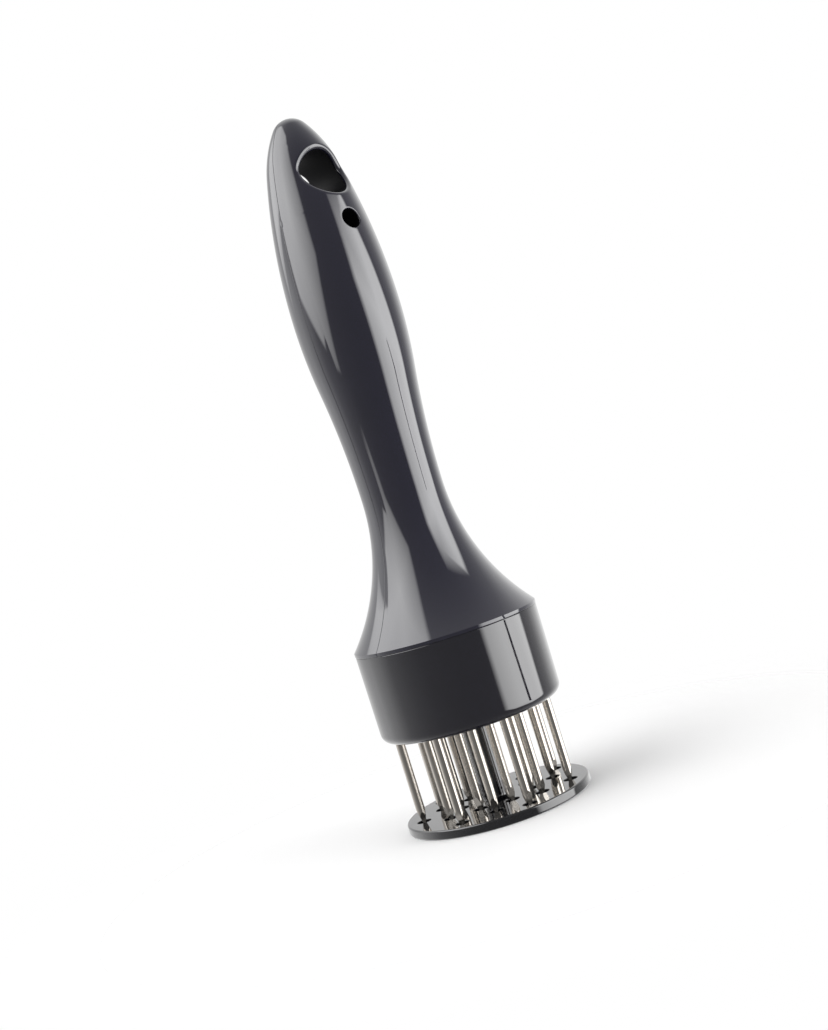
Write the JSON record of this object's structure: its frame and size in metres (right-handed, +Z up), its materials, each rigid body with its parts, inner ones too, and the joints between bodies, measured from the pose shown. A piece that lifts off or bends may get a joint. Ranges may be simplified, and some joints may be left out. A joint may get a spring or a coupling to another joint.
{
  "type": "meat tenderizer",
  "caption": "Hand-held meat tenderizer: a long rounded grip with a bell-shaped foot, a collar, rings of needle blades and a sprung round press plate.",
  "frame": {"origin": "centre of the press plate's underside, on the tool's axis", "axes": "+Z up the tool's axis, from the press plate to the tip of the grip; Y along the hanging hole"},
  "size_m": [0.0522, 0.0522, 0.1975],
  "materials": {
    "grip": "polished mould, glossy black ABS",
    "collar": "polished mould, glossy black ABS",
    "needle_plate": "moulded black ABS",
    "press_plate": "polished mould, glossy black ABS",
    "blades": "drawn and ground stainless steel",
    "plate_steel": "pressed stainless steel",
    "screw_steel": "zinc plated",
    "spring_steel": "drawn spring wire"
  },
  "bodies": {
    "grip": {"grip_front_shell": "grip", "grip_rear_shell": "grip", "collar": "collar", "needle_plate": "needle_plate", "backing_plate": "plate_steel", "return_spring": "spring_steel", "needle_01": "blades", "needle_02": "blades", "needle_03": "blades", "needle_04": "blades", "needle_05": "blades", "needle_06": "blades", "needle_07": "blades", "needle_08": "blades", "needle_09": "blades", "needle_10": "blades", "needle_11": "blades", "needle_12": "blades", "needle_13": "blades", "needle_14": "blades", "needle_15": "blades", "needle_16": "blades", "needle_17": "blades", "needle_18": "blades", "needle_19": "blades", "needle_20": "blades", "needle_21": "blades"},
    "press": {"press_plate": "press_plate", "stop_washer": "plate_steel", "stem_screw": "screw_steel"}
  },
  "joints": [
    {"name": "press_slide", "type": "slide", "parent": "grip", "child": "press", "axis": [0, 0, 1], "range_m": [0, 0.022], "stiffness_N_per_m": 500, "springref_m": -0.012, "deforming": ["return_spring"]}
  ]
}
